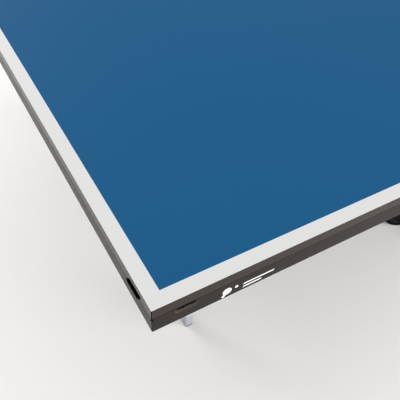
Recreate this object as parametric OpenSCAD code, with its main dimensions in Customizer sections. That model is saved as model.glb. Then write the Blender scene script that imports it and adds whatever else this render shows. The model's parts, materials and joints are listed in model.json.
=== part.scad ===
// Roll-away table tennis table. Two half tables tilt up about pins on a four-caster trolley, and
// each half carries its own legs, which two struts keep vertical while the half moves.
// Frame: origin on the floor under the middle of the net, +X along the table, +Z up.
// Half a is the one on the -X side and half b the one on the +X side.

/* [Playing surface] */
// Length of the whole table with both halves down
table_l = 2740; // [2600:10:2800]
// Width across the table
table_w = 1525; // [1400:5:1600]
// Height of the playing surface above the floor
table_h = 760; // [740:5:780]
// Thickness of the board
board_t = 17; // [15:0.5:19]
// Gap between the two halves under the net
half_gap = 4; // [3:0.5:8]
// Thickness of the plastic edge band
band_t = 1.5; // [1:0.1:2]

/* [Edge frame] */
// Height of the steel rail below the board
rail_h = 26; // [24:1:30]
// Sheet thickness of the rail
rail_t = 2; // [1.5:0.1:2.5]
// Height of the seam between the edge band and the rail
seam_h = 0.4; // [0.4:0.1:1.2]
// Length of the black slots in the outer end
end_slot_l = 31; // [28:0.5:38]
// Height of the slots in the outer end
end_slot_h = 17.6; // [12:0.1:20]
// How far the lower edge of a slot in the outer end lies further from the corner than the upper edge
end_slot_lean = 8.5; // [0:0.5:12]
// Distance from the corner to the middle of a slot in the outer end
end_slot_from_corner = 47; // [44:0.5:60]
// Depth of the middle of a slot in the outer end below the playing surface
end_slot_below_top = 18.5; // [17:0.1:20]
// Length of the slots in the long sides
side_slot_l = 31; // [26:0.5:36]
// Height of the slots in the long sides
side_slot_h = 10.4; // [8:0.1:11]
// Distance from the corner to the middle of a slot in a long side
side_slot_from_corner = 44.5; // [42:0.5:60]

/* [Legs] */
// Distance of the legs from the table's end
leg_from_end = 256; // [200:1:320]
// Distance of the legs' and the trolley's side planes from the middle of the table
frame_y = 407.5; // [390:0.5:430]
// Width of the leg tube along the table
leg_x = 20; // [18:1:20]
// Width of the leg tube across the table
leg_y = 30; // [26:1:30]
// Height of the plastic foot
foot_h = 44; // [30:1:60]

/* [Tilting] */
// Distance of the tilt pins from the middle of the table
pivot_x = 320; // [310:1:340]
// Depth of the tilt pins below the playing surface
pivot_below_top = 34; // [33:0.5:35]
// Distance of the strut pins below the tilt and leg pins
strut_drop = 70; // [60:1:80]

/* [Trolley] */
// Distance of the uprights from the middle of the table
upright_x = 360; // [358:1:370]
// Side of the square upright tube
tube = 30; // [25:1:30]
// Half length of the base rails
base_half_l = 400; // [395:1:440]
// Height of the base rail tube
base_h = 40; // [30:1:50]

/* [Casters] */
// Diameter of a caster wheel
wheel_d = 125; // [110:1:125]
// Width of one wheel of a twin caster
wheel_w = 22; // [18:1:24]
// Gap between the two wheels of a caster
wheel_gap = 18; // [17:1:22]
// Distance of the swivel pins from the middle of the table
caster_x = 346.5; // [330:0.5:360]
// Horizontal distance from swivel pin to axle
caster_trail = 23; // [20:1:30]
// Direction that the wheels trail in, anticlockwise from +X
caster_heading = 155; // [0:5:355]
// Height of the caster, floor to mounting face
caster_h = 155; // [155:1:165]

/* [Net] */
// Height of the net above the playing surface
net_h = 152.5; // [150:0.5:155]
// Distance of each net post beyond the table's side
net_overhang = 152.5; // [140:0.5:155]
// Height of the net's top tape
tape_h = 15; // [12:1:15]

/* [Hidden] */
$fn = 48;
EPS = 1;                                   // overrun of a cutter past the face it opens
RUN = 0.05;                                // radial clearance of a pin that turns in its hole

// Colours
PLAY_BLUE = [0.10, 0.30, 0.50];
ANTHRACITE = [0.22, 0.21, 0.20];
SILVER = [0.70, 0.71, 0.73];
BLACK = [0.05, 0.05, 0.05];
STEEL = [0.62, 0.62, 0.64];
NET_GREEN = [0.05, 0.14, 0.16];
WHITE = [0.92, 0.92, 0.90];

// Levels of the half table
board_z = table_h - board_t;               // underside of the board
rail_z = board_z - rail_h;                 // underside of the rails
half_in = half_gap / 2;                    // inner end of a half
half_out = table_l / 2;                    // outer end of a half
half_l = half_out - half_in;
side_y = table_w / 2;
top_flange = 24;                           // width of the rail's flange under the board
low_flange = 14;                           // width of the rail's lower flange
mitre_gap = 0.8;                           // each mitred end stops this short of the corner's diagonal
pivot_z = table_h - pivot_below_top;
strut_z = pivot_z - strut_drop;
leg_x0 = half_out - leg_from_end;          // middle of the legs
corner_notch = 2.2;                        // relief in the web's upper corners, where the mitres meet
corner_notch_h = 4;
end_slot_z = table_h - end_slot_below_top;
end_slot_r = 3.5;
slot_depth = 14;
pocket_depth = slot_depth + 0.5;
insert_wall = 1.6;
collar_t = 0.8;                            // drawn collar round a side slot
collar_depth = 4;
collar_l = side_slot_l + 2 * collar_t;
collar_h = side_slot_h + 2 * collar_t;
side_slot_z = board_z - collar_h / 2 - 0.2;
bracket_t = 3;
screw_r = 2.4;
screw_hole_r = 2.5;
screw_head_r = 4;
screw_head_h = 2.5;
screw_l = 12;
beam_y = 325;                              // middle of a stiffener beam
beam_w = 30;
beam_h = 20;
beam_x0 = 130;
beam_x1 = 1240;

// Trolley
wall = 2;
base_z = caster_h;                         // underside of the base rails
upright_top = pivot_z - 36;
plate_t = 4;
plate_y_in = frame_y - tube / 2 - plate_t; // inner face of the inner pivot plate
plate_y_out = frame_y + tube / 2;          // inner face of the outer pivot plate
pin_r = 6;
strut_pin_r = 5;
leg_pin_r = 5;
lock_r = 4;
lock_arm = 15.6;                           // the lock pin lies this far out and down from the tilt pin
lock_x = pivot_x + lock_arm;
lock_z = pivot_z - lock_arm;
lock_travel = 8;
carrier_z = 540;                           // underside of the net carrier beam
carrier_s = 40;
cross_z = [base_z + 5, upright_top - 55];  // underside of the lower and upper cross tubes

// Legs and struts
leg_top = pivot_z + 7;
leg_wall = 1.5;
leg_in_y = frame_y - leg_y / 2;
leg_out_y = frame_y + leg_y / 2;
crossbar_z = [320, 600];
crossbar_t = 15;
crossbar_h = 30;
strut_y = frame_y + 24.5;                  // inner face of a strut bar
strut_t = 6;
strut_w = 20;
strut_eye_r = 12;
foot_gap = 1;

// Casters
wheel_r = wheel_d / 2;
wheel_y = wheel_gap / 2;
axle_r = 5;
fork_t = 14;
fork_disc_r = 26;
fork_top = caster_h - plate_t - 0.5;
fork_disc_h = 7;
kingpin_r = 6;
brake_x = 40;
brake_z = fork_top - fork_disc_h - 9;

// Net
post_y = side_y + net_overhang;
post_r = 11;
net_z = table_h + 1;
net_top = table_h + net_h;
hem_w = 18;
beam_y1 = post_y + 25;                     // half length of the net's beam

// ---------- helpers ----------

module on_side(s) {
    if (s < 0) mirror([1, 0, 0]) children();
    else children();
}

module both_y() {
    children();
    mirror([0, 1, 0]) children();
}

module on_y(sy) {
    if (sy < 0) mirror([0, 1, 0]) children();
    else children();
}

module all_corners() {
    for (s = [-1, 1]) on_side(s) both_y() children();
}

// Round bar along Y from y0 to y1 through (x, z)
module bar_y(r, y0, y1, x, z) {
    translate([x, y1, z]) rotate([90, 0, 0]) cylinder(r = r, h = y1 - y0);
}

// Round bar along Z
module bar_z(r, z0, z1, x, y) {
    translate([x, y, z0]) cylinder(r = r, h = z1 - z0);
}

// A 2D outline in X and Z, as a plate from y0 to y1
module plate_xz(y0, y1) {
    translate([0, y1, 0]) rotate([90, 0, 0]) linear_extrude(height = y1 - y0) children();
}

// Box from corner lo to corner hi
module block(lo, hi) {
    translate(lo) cube(hi - lo);
}

// Rectangular tube from corner lo to corner hi, open at both ends along the axis (0 X, 1 Y, 2 Z)
module box_tube(lo, hi, axis, t) {
    inset = [axis == 0 ? -EPS : t, axis == 1 ? -EPS : t, axis == 2 ? -EPS : t];
    difference() {
        block(lo, hi);
        block(lo + inset, hi - inset);
    }
}

// ---------- half table: board, band and rails ----------

// Outline of a slot with round ends, lying along X, centred
module slot_2d(l, h) {
    square([l - h, h], center = true);
    for (e = [-1, 1]) translate([e * (l - h) / 2, 0]) circle(d = h);
}

// Outline of a slot with leaning ends and corners of radius r, lying along X, centred
module leaning_slot_2d(l, h, r) {
    middles = [for (p = [[-1, -1], [1, -1], [1, 1], [-1, 1]])
        [p[0] * (l / 2 - r) - p[1] * end_slot_lean / 2, p[1] * (h / 2 - r)]];
    edges = [for (i = [0:3]) middles[(i + 1) % 4] - middles[i]];
    polygon([for (i = [0:3]) for (p = [middles[i], middles[(i + 1) % 4]])
        p + r * [edges[i][1], -edges[i][0]] / norm(edges[i])]);
    for (p = middles) translate(p) circle(r = r);
}

// A prism at both slots of an outer end, smaller than the slot by inset all round, running depth
// inwards from start behind the face
module end_slots(inset, start, depth) {
    both_y() translate([half_out - start, side_y - end_slot_from_corner, end_slot_z])
        rotate([90, 0, -90]) linear_extrude(height = depth)
            leaning_slot_2d(end_slot_l - 2 * inset, end_slot_h - 2 * inset, end_slot_r - inset);
}

// A prism of l by h with round ends at both slots of the long sides
module side_slots(l, h, start, depth) {
    both_y() translate([half_out - side_slot_from_corner, side_y - start, side_slot_z])
        rotate([90, 0, 0]) linear_extrude(height = depth) slot_2d(l, h);
}

module end_pockets() { end_slots(0, -EPS, pocket_depth + EPS); }

// Where the wood screws go up into the board: [x, y, level of the head's upper face]
function rail_screws() = [
    for (x = [180 : 337 : 1200]) [x, side_y - 19, board_z - rail_t],
    for (y = [140, 520]) [half_out - 19, y, board_z - rail_t],
    for (y = [140, 520]) [half_in + 19, y, board_z - rail_t]
];
function beam_screws() = [
    for (x = [170, 520, 870, 1200]) [x, beam_y, board_z - rail_t]
];
function bracket_screws() = [
    for (x = [pivot_x - 24, pivot_x + 24, leg_x0 - 24, leg_x0 + 24])
        [x, frame_y, board_z - bracket_t]
];
function board_screws() = concat(rail_screws(), beam_screws(), bracket_screws());

module screw_holes(r) {
    both_y() for (p = board_screws())
        bar_z(r, board_z - 8, board_z + screw_l - 2, p[0], p[1]);
}

module board(s) {
    color(PLAY_BLUE) on_side(s) difference() {
        block([half_in + band_t, -side_y + band_t, board_z],
              [half_out - band_t, side_y - band_t, table_h]);
        end_pockets();
        screw_holes(screw_hole_r);
    }
}

// Triangle that keeps one side's share of a mitred frame, for a side of length l along X from x = 0
module mitre_2d(l, depth) {
    polygon([[mitre_gap, 0], [l - mitre_gap, 0],
             [l - mitre_gap - depth, depth], [mitre_gap + depth, depth]]);
}

// One strip of the edge band: along X from 0 to l, its outer face at y = 0
module band_strip(l) {
    translate([0, 0, board_z + seam_h])
        linear_extrude(height = board_t - seam_h) mitre_2d(l, band_t);
}

// One C section rail, mitred at both ends, with a relief notch at the web's upper corners: along X from
// 0 to l, its outer face at y = 0
module rail(l) {
    difference() {
        intersection() {
            rotate([90, 0, 90]) linear_extrude(height = l) polygon([
                [0, rail_z], [low_flange, rail_z], [low_flange, rail_z + rail_t],
                [rail_t, rail_z + rail_t], [rail_t, board_z - rail_t],
                [top_flange, board_z - rail_t], [top_flange, board_z], [0, board_z]]);
            translate([0, 0, rail_z - EPS])
                linear_extrude(height = rail_h + 2 * EPS) mitre_2d(l, top_flange + EPS);
        }
        for (x = [-EPS, l - corner_notch])
            block([x, -EPS, board_z - corner_notch_h], [x + corner_notch + EPS, rail_t, board_z + EPS]);
    }
}

// Places a strip or rail made along X onto each edge of the half
module on_outer_end() { translate([half_out, -side_y, 0]) rotate([0, 0, 90]) children(); }
module on_inner_end() { translate([half_in, side_y, 0]) rotate([0, 0, -90]) children(); }
module on_long_side() { translate([half_in, -side_y, 0]) children(); }

module edge_band(s) {
    color(ANTHRACITE) on_side(s) difference() {
        union() {
            on_outer_end() band_strip(table_w);
            on_inner_end() band_strip(table_w);
            both_y() on_long_side() band_strip(half_l);
        }
        end_pockets();
    }
}

module outer_end_rail(s) {
    color(ANTHRACITE) on_side(s) difference() {
        on_outer_end() rail(table_w);
        end_pockets();
        screw_holes(screw_hole_r);
        gusset_holes();
    }
}

module inner_end_rail(s) {
    color(ANTHRACITE) on_side(s) difference() {
        on_inner_end() rail(table_w);
        screw_holes(screw_hole_r);
        gusset_holes();
    }
}

module side_rails(s) {
    color(ANTHRACITE) on_side(s) difference() {
        union() {
            difference() {
                both_y() on_long_side() rail(half_l);
                side_slots(collar_l + 0.8, collar_h + 0.8, collar_depth, pocket_depth - collar_depth);
            }
            side_slots(collar_l, collar_h, rail_t - 0.5, collar_depth - rail_t + 0.5);
        }
        side_slots(side_slot_l, side_slot_h, -EPS, collar_depth + 2 * EPS);
        screw_holes(screw_hole_r);
        gusset_holes();
    }
}

// Blind plastic cups that line the slots
module slot_inserts(s) {
    cup = slot_depth - insert_wall;
    color(BLACK) on_side(s) {
        difference() {
            end_slots(0.1, 0.4, slot_depth - 0.4);
            end_slots(insert_wall, -EPS, cup + EPS);
        }
        difference() {
            side_slots(collar_l, collar_h, collar_depth + 0.1, slot_depth - collar_depth - 0.1);
            side_slots(side_slot_l - 1, side_slot_h - 1, collar_depth - EPS, cup - collar_depth + EPS);
        }
    }
}

// ---------- half table: underside ----------

gusset_l = 90;
gusset_w = 22;
gusset_t = 3;
gusset_screw = 70;                         // distance of a gusset's screws from the corner
gusset_u = 9;                              // distance of a gusset's screws from the outer face

// The four corners of a half's frame, each with the sides along +X and +Y
module at_frame_corners() {
    both_y() {
        translate([half_in, -side_y, 0]) children();
        translate([half_out, -side_y, 0]) mirror([1, 0, 0]) children();
    }
}

module gusset_holes() {
    at_frame_corners() for (p = [[gusset_screw, gusset_u], [gusset_u, gusset_screw]])
        bar_z(screw_hole_r, rail_z - EPS, rail_z + 8, p[0], p[1]);
}

module corner_gussets(s) {
    inset = rail_t + 0.2;
    color(STEEL) on_side(s) difference() {
        at_frame_corners() translate([0, 0, rail_z + rail_t])
            linear_extrude(height = gusset_t) polygon([
                [inset, inset], [gusset_l, inset], [gusset_l, gusset_w],
                [gusset_w + 14, gusset_w], [gusset_w, gusset_w + 14],
                [gusset_w, gusset_l], [inset, gusset_l]]);
        gusset_holes();
    }
}

// Channels screwed under the board, open downwards
module stiffener_beams(s) {
    color(SILVER) on_side(s) difference() {
        both_y() difference() {
            block([beam_x0, beam_y - beam_w / 2, board_z - beam_h],
                  [beam_x1, beam_y + beam_w / 2, board_z]);
            block([beam_x0 - EPS, beam_y - beam_w / 2 + wall, board_z - beam_h - EPS],
                  [beam_x1 + EPS, beam_y + beam_w / 2 - wall, board_z - wall]);
        }
        screw_holes(screw_hole_r);
    }
}

bracket_half_l = 30;
ear_t = 3;
pivot_ear_y = [frame_y - tube / 2 + 1, frame_y + tube / 2 - 1 - ear_t];
leg_ear_y = [leg_in_y - 0.5 - ear_t, leg_out_y + 0.5];

// Ear of the tilt bracket: the pin's hole, and the lock's holes for the flat and the upright half
module tilt_ear_2d() {
    difference() {
        translate([pivot_x, pivot_z]) polygon([
            [-bracket_half_l, 17], [bracket_half_l, 17], [24, -14], [15, -23],
            [-15, -23], [-24, -14]]);
        translate([pivot_x, pivot_z]) circle(r = pin_r + RUN);
        for (e = [-1, 1]) translate([pivot_x + e * lock_arm, lock_z]) circle(r = lock_r + 0.1);
    }
}

module leg_ear_2d() {
    difference() {
        translate([leg_x0, pivot_z]) polygon([
            [-bracket_half_l, 17], [bracket_half_l, 17], [13, -13], [-13, -13]]);
        translate([leg_x0, pivot_z]) circle(r = leg_pin_r + RUN);
    }
}

module hinge_brackets(s) {
    color(STEEL) on_side(s) both_y() difference() {
        union() {
            for (y = pivot_ear_y) plate_xz(y, y + ear_t) tilt_ear_2d();
            block([pivot_x - bracket_half_l, pivot_ear_y[0], board_z - bracket_t],
                  [pivot_x + bracket_half_l, pivot_ear_y[1] + ear_t, board_z]);
            for (y = leg_ear_y) plate_xz(y, y + ear_t) leg_ear_2d();
            block([leg_x0 - bracket_half_l, leg_ear_y[0], board_z - bracket_t],
                  [leg_x0 + bracket_half_l, leg_ear_y[1] + ear_t, board_z]);
        }
        screw_holes(screw_hole_r);
    }
}

// A pan head screw pointing up, its head hanging below level z
module screw(x, y, z, l) {
    bar_z(screw_head_r, z - screw_head_h, z, x, y);
    bar_z(screw_r, z - EPS, z + l, x, y);
}

module screws(s) {
    color(STEEL) on_side(s) {
        both_y() for (p = board_screws()) screw(p[0], p[1], p[2], screw_l - 1);
        at_frame_corners() for (p = [[gusset_screw, gusset_u], [gusset_u, gusset_screw]])
            screw(p[0], p[1], rail_z, 7);
    }
}

// ---------- legs, feet and struts ----------

module leg_tubes(s) {
    color(SILVER) on_side(s) both_y() difference() {
        box_tube([leg_x0 - leg_x / 2, leg_in_y, foot_h + foot_gap],
                 [leg_x0 + leg_x / 2, leg_out_y, leg_top], 2, leg_wall);
        bar_y(leg_pin_r + 0.02, leg_in_y - EPS, leg_out_y + EPS, leg_x0, pivot_z);
        bar_y(strut_pin_r + 0.02, leg_in_y - EPS, leg_out_y + EPS, leg_x0, strut_z);
    }
}

module leg_crossbars(s) {
    color(SILVER) on_side(s) for (z = crossbar_z)
        box_tube([leg_x0 + leg_x / 2, -leg_out_y, z],
                 [leg_x0 + leg_x / 2 + crossbar_t, leg_out_y, z + crossbar_h], 1, leg_wall);
}

// The leg's pin in its bracket, and the shouldered bolt that carries the strut's outer end
module leg_pins(s) {
    color(STEEL) on_side(s) both_y() {
        bar_y(leg_pin_r, leg_ear_y[0] - 1, leg_ear_y[1] + ear_t + 1, leg_x0, pivot_z);
        bar_y(8, leg_ear_y[0] - 3, leg_ear_y[0] - 0.5, leg_x0, pivot_z);
        bar_y(8, leg_ear_y[1] + ear_t + 0.5, leg_ear_y[1] + ear_t + 3, leg_x0, pivot_z);
        strut_bolt(leg_x0, leg_in_y - 6, leg_in_y, leg_out_y);
    }
}

// Bolt with a nut between nut0 and nut1, a spacer from y0 to the strut, and a head outside it
module strut_bolt(x, nut0, nut1, y0) {
    bar_y(strut_pin_r, nut0, strut_y + strut_t + 2, x, strut_z);
    bar_y(9, nut0 + 1, nut1, x, strut_z);
    bar_y(9, y0, strut_y - 0.4, x, strut_z);
    bar_y(9, strut_y + strut_t + 0.4, strut_y + strut_t + 4, x, strut_z);
}

// Plastic plugs in both ends of each leg tube; the lower one is the foot's nut
module leg_plugs(s) {
    inset = leg_wall + 0.1;
    color(BLACK) on_side(s) both_y() difference() {
        union() {
            block([leg_x0 - leg_x / 2, leg_in_y, leg_top],
                  [leg_x0 + leg_x / 2, leg_out_y, leg_top + 1.5]);
            for (span = [[leg_top - 1, leg_top], [foot_h + foot_gap, foot_h + foot_gap + 24]])
                block([leg_x0 - leg_x / 2 + inset, leg_in_y + inset, span[0]],
                      [leg_x0 + leg_x / 2 - inset, leg_out_y - inset, span[1]]);
        }
        bar_z(5 + RUN, foot_h, foot_h + foot_gap + 30, leg_x0, frame_y);
    }
}

// Screw foot: a block of the leg's own section on a threaded stem
module foot(s, sy) {
    color([0.45, 0.46, 0.48]) on_side(s) on_y(sy) {
        block([leg_x0 - leg_x / 2, leg_in_y, 0], [leg_x0 + leg_x / 2, leg_out_y, foot_h]);
        bar_z(5, foot_h - EPS, foot_h + 60, leg_x0, frame_y);
    }
}

module strut_bars(s) {
    color(SILVER) on_side(s) both_y() plate_xz(strut_y, strut_y + strut_t) difference() {
        union() {
            translate([pivot_x, strut_z - strut_w / 2]) square([leg_x0 - pivot_x, strut_w]);
            for (x = [pivot_x, leg_x0]) translate([x, strut_z]) circle(r = strut_eye_r);
        }
        for (x = [pivot_x, leg_x0]) translate([x, strut_z]) circle(r = strut_pin_r + RUN);
    }
}

// ---------- trolley ----------

module base_rails() {
    color(SILVER) both_y() difference() {
        box_tube([-base_half_l, frame_y - tube / 2, base_z],
                 [base_half_l, frame_y + tube / 2, base_z + base_h], 0, wall);
        for (x = [-caster_x, caster_x])
            bar_z(kingpin_r + 0.5, base_z - EPS, base_z + wall + EPS, x, frame_y);
    }
}

// Four uprights for the tilt pins, and two posts under the net's beam
module uprights() {
    color(SILVER) {
        all_corners()
            box_tube([upright_x - tube / 2, frame_y - tube / 2, base_z + base_h],
                     [upright_x + tube / 2, frame_y + tube / 2, upright_top], 2, wall);
        both_y() box_tube([-tube / 2, frame_y - tube / 2, base_z + base_h],
                          [tube / 2, frame_y + tube / 2, carrier_z], 2, wall);
    }
}

// A lower and an upper tube between the two side frames at each end
module cross_tubes() {
    color(SILVER) for (s = [-1, 1]) on_side(s) {
        box_tube([upright_x - 120, -(frame_y - tube / 2), cross_z[0]],
                 [upright_x - 120 + tube, frame_y - tube / 2, cross_z[0] + tube], 1, wall);
        box_tube([upright_x - tube / 2, -plate_y_in, cross_z[1]],
                 [upright_x + tube / 2, plate_y_in, cross_z[1] + tube], 1, wall);
    }
}

// Outline of the plates that hold the tilt pin, the strut's pin and, inside, the lock
module pivot_plate_2d(with_lock) {
    difference() {
        union() {
            translate([pivot_x, pivot_z]) circle(r = 13);
            translate([pivot_x, strut_z]) circle(r = 12);
            polygon([[pivot_x - 12, strut_z], [pivot_x - 13, pivot_z], [pivot_x, pivot_z + 13],
                     [upright_x - 9, pivot_z - 8], [upright_x + 15, upright_top - 8],
                     [upright_x + 15, upright_top - 95], [upright_x - 15, upright_top - 95],
                     [pivot_x, strut_z - 12]]);
        }
        translate([pivot_x, pivot_z]) circle(r = pin_r + 0.02);
        translate([pivot_x, strut_z]) circle(r = strut_pin_r + 0.02);
        if (with_lock) translate([lock_x, lock_z]) circle(r = lock_r + 0.1);
    }
}

module pivot_plates() {
    color(STEEL) all_corners() {
        plate_xz(plate_y_in, plate_y_in + plate_t) pivot_plate_2d(true);
        plate_xz(plate_y_out, plate_y_out + plate_t) pivot_plate_2d(false);
    }
}

// Tilt pins and strut bolts, fixed in the pivot plates
module trolley_pins() {
    color(STEEL) all_corners() {
        bar_y(pin_r, plate_y_in - 3, plate_y_out + plate_t + 2, pivot_x, pivot_z);
        bar_y(9, plate_y_in - 4, plate_y_in, pivot_x, pivot_z);
        bar_y(9, plate_y_out + plate_t, plate_y_out + plate_t + 3.5, pivot_x, pivot_z);
        strut_bolt(pivot_x, plate_y_out - 6, plate_y_out, plate_y_out + plate_t);
    }
}

module lock_housings() {
    color(STEEL) all_corners() difference() {
        bar_y(8, plate_y_in - 10.5, plate_y_in, lock_x, lock_z);
        bar_y(lock_r + RUN, plate_y_in - 12, plate_y_in + EPS, lock_x, lock_z);
    }
}

// Pull knob and pin, shown pulled out; pushed in, the pin enters the tilt bracket's ear
module lock(s, sy) {
    knob_y = plate_y_in - 36;
    color(BLACK) on_side(s) on_y(sy) {
        bar_y(lock_r, knob_y, plate_y_in + plate_t - 0.5, lock_x, lock_z);
        bar_y(9, knob_y, knob_y + 4, lock_x, lock_z);
        bar_y(11.5, knob_y + 4, knob_y + 14, lock_x, lock_z);
        bar_y(7, knob_y + 14, knob_y + 17, lock_x, lock_z);
    }
}

// Beam under the table's middle, with a socket for a net post near each end
module net_carrier() {
    color(SILVER) difference() {
        union() {
            box_tube([-carrier_s / 2, -beam_y1, carrier_z],
                     [carrier_s / 2, beam_y1, carrier_z + carrier_s], 1, wall);
            both_y() bar_z(15, carrier_z + wall / 2, carrier_z + carrier_s - wall / 2, 0, post_y);
        }
        both_y() bar_z(post_r + RUN, carrier_z + wall, carrier_z + carrier_s + EPS, 0, post_y);
    }
}

module tube_caps() {
    cap = 3;
    color(BLACK) {
        for (s = [-1, 1]) on_side(s) both_y() {
            block([base_half_l, frame_y - tube / 2, base_z],
                  [base_half_l + cap, frame_y + tube / 2, base_z + base_h]);
            block([upright_x - tube / 2, frame_y - tube / 2, upright_top],
                  [upright_x + tube / 2, frame_y + tube / 2, upright_top + cap]);
        }
        both_y() block([-carrier_s / 2, beam_y1, carrier_z],
                       [carrier_s / 2, beam_y1 + cap, carrier_z + carrier_s]);
    }
}

// ---------- casters ----------

// Caster k, numbered anticlockwise seen from above, starting at -X, -Y
function caster_at(k) = [
    (k == 1 || k == 4) ? -caster_x : caster_x,
    (k == 1 || k == 2) ? -frame_y : frame_y
];

// A caster's own frame: swivel axis at x = y = 0, the wheels trailing towards +X
module at_caster(k) {
    translate([caster_at(k)[0], caster_at(k)[1], 0]) rotate([0, 0, caster_heading]) children();
}

module caster_plates() {
    color(STEEL) for (k = [1 : 4]) difference() {
        translate([caster_at(k)[0], caster_at(k)[1], caster_h - plate_t / 2])
            cube([90, 56, plate_t], center = true);
        bar_z(kingpin_r + RUN, caster_h - plate_t - EPS, caster_h + EPS,
              caster_at(k)[0], caster_at(k)[1]);
    }
}

module caster_fork(k) {
    disc_z = fork_top - fork_disc_h;
    color(BLACK) at_caster(k) {
        bar_z(fork_disc_r, disc_z, fork_top, 0, 0);
        bar_z(kingpin_r, fork_top - EPS, caster_h + wall + 8, 0, 0);
        bar_z(9, caster_h + wall + 0.4, caster_h + wall + 7, 0, 0);
        plate_xz(-fork_t / 2, fork_t / 2) difference() {
            union() {
                polygon([[-20, disc_z + EPS], [46, disc_z + EPS], [46, brake_z - 6],
                         [caster_trail + 15, wheel_r], [caster_trail - 15, wheel_r]]);
                translate([caster_trail, wheel_r]) circle(r = 15);
            }
            translate([caster_trail, wheel_r]) circle(r = axle_r + 0.02);
            translate([brake_x, brake_z]) circle(r = 3 + RUN);
        }
        bar_y(axle_r, -(wheel_y + wheel_w), wheel_y + wheel_w, caster_trail, wheel_r);
        both_y() bar_y(9, wheel_y + wheel_w - 2.5, wheel_y + wheel_w, caster_trail, wheel_r);
    }
}

// Half section of one wheel: [radius, distance from its inner face], with a dished outer face
module wheel_2d() {
    r0 = axle_r + RUN;
    polygon([[r0, 0], [wheel_r - 3, 0], [wheel_r, 3], [wheel_r, wheel_w - 3],
             [wheel_r - 3, wheel_w], [wheel_r - 14, wheel_w], [wheel_r - 18, wheel_w - 6],
             [17, wheel_w - 6], [14, wheel_w - 3], [r0, wheel_w - 3]]);
}

module caster_wheels(k) {
    color(BLACK) at_caster(k) both_y() translate([caster_trail, wheel_y, wheel_r])
        rotate([-90, 0, 0]) rotate_extrude($fn = 96) wheel_2d();
}

// Foot pedal, hinged on the fork, whose pad comes down on both treads
module caster_brake(k) {
    color([0.55, 0.10, 0.08]) at_caster(k) {
        both_y() plate_xz(fork_t / 2 + 0.3, fork_t / 2 + 3.3) difference() {
            polygon([[brake_x - 6, brake_z - 6], [brake_x + 8, brake_z - 6], [62, brake_z - 6],
                     [62, brake_z + 4], [brake_x - 6, brake_z + 6]]);
            translate([brake_x, brake_z]) circle(r = 3);
        }
        plate_xz(-22, 22) polygon([[54, brake_z - 3], [62, brake_z - 6], [98, brake_z - 12],
                                   [99, brake_z - 7], [62, brake_z + 4], [54, brake_z + 4]]);
        plate_xz(-22, 22) polygon([[58, brake_z - 4], [58, brake_z - 9], [66, brake_z - 12],
                                   [68, brake_z - 6]]);
        bar_y(3, -(fork_t / 2 + 3.3), fork_t / 2 + 3.3, brake_x, brake_z);
    }
}

// ---------- net ----------

module net_posts() {
    color(ANTHRACITE) both_y() {
        difference() {
            bar_z(post_r, carrier_z + wall + 0.5, net_top - 2, 0, post_y);
            bar_z(post_r - 2, carrier_z, net_top - 10, 0, post_y);
        }
        difference() {
            bar_z(19, carrier_z + carrier_s + 0.4, carrier_z + carrier_s + 6, 0, post_y);
            bar_z(post_r - EPS, carrier_z + carrier_s, carrier_z + carrier_s + 7, 0, post_y);
        }
        bar_z(13, net_top - 8, net_top, 0, post_y);
        for (z = [net_z + 12, net_top - 24])
            block([-3, post_y - post_r - 4, z], [3, post_y - post_r + 2, z + 10]);
    }
}

module net_mesh() {
    color(NET_GREEN)
        block([-0.7, -(post_y - post_r - 4 - hem_w), net_z],
              [0.7, post_y - post_r - 4 - hem_w, net_top - tape_h]);
}

// White top tape and the side hems
module net_tape() {
    y1 = post_y - post_r - 4;
    color(WHITE) {
        block([-1.4, -y1, net_top - tape_h], [1.4, y1, net_top]);
        both_y() block([-1.4, y1 - hem_w, net_z], [1.4, y1, net_top - tape_h]);
    }
}

// ---------- nodes ----------

base_rails();
uprights();
cross_tubes();
pivot_plates();
net_carrier();
tube_caps();
caster_plates();
trolley_pins();
lock_housings();
board(-1);  // board_a
edge_band(-1);  // edge_band_a
outer_end_rail(-1);  // outer_end_rail_a
inner_end_rail(-1);  // inner_end_rail_a
side_rails(-1);  // side_rails_a
slot_inserts(-1);  // slot_inserts_a
corner_gussets(-1);  // corner_gussets_a
stiffener_beams(-1);  // stiffener_beams_a
hinge_brackets(-1);  // hinge_brackets_a
screws(-1);  // screws_a
leg_tubes(-1);  // leg_tubes_a
leg_crossbars(-1);  // leg_crossbars_a
leg_pins(-1);  // leg_pins_a
leg_plugs(-1);  // leg_plugs_a
foot(-1, -1);  // foot_a_left
foot(-1, 1);  // foot_a_right
strut_bars(-1);  // strut_bars_a
board(1);  // board_b
edge_band(1);  // edge_band_b
outer_end_rail(1);  // outer_end_rail_b
inner_end_rail(1);  // inner_end_rail_b
side_rails(1);  // side_rails_b
slot_inserts(1);  // slot_inserts_b
corner_gussets(1);  // corner_gussets_b
stiffener_beams(1);  // stiffener_beams_b
hinge_brackets(1);  // hinge_brackets_b
screws(1);  // screws_b
leg_tubes(1);  // leg_tubes_b
leg_crossbars(1);  // leg_crossbars_b
leg_pins(1);  // leg_pins_b
leg_plugs(1);  // leg_plugs_b
foot(1, -1);  // foot_b_left
foot(1, 1);  // foot_b_right
strut_bars(1);  // strut_bars_b
lock(-1, -1);  // lock_a_left
lock(-1, 1);  // lock_a_right
lock(1, -1);  // lock_b_left
lock(1, 1);  // lock_b_right
caster_fork(1);  // caster_1_fork
caster_wheels(1);  // caster_1_wheels
caster_brake(1);  // caster_1_brake
caster_fork(2);  // caster_2_fork
caster_wheels(2);  // caster_2_wheels
caster_fork(3);  // caster_3_fork
caster_wheels(3);  // caster_3_wheels
caster_brake(3);  // caster_3_brake
caster_fork(4);  // caster_4_fork
caster_wheels(4);  // caster_4_wheels
net_posts();
net_mesh();
net_tape();
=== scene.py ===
import json
import math
import random

import bmesh
import bpy
from mathutils import Matrix, Vector


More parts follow.
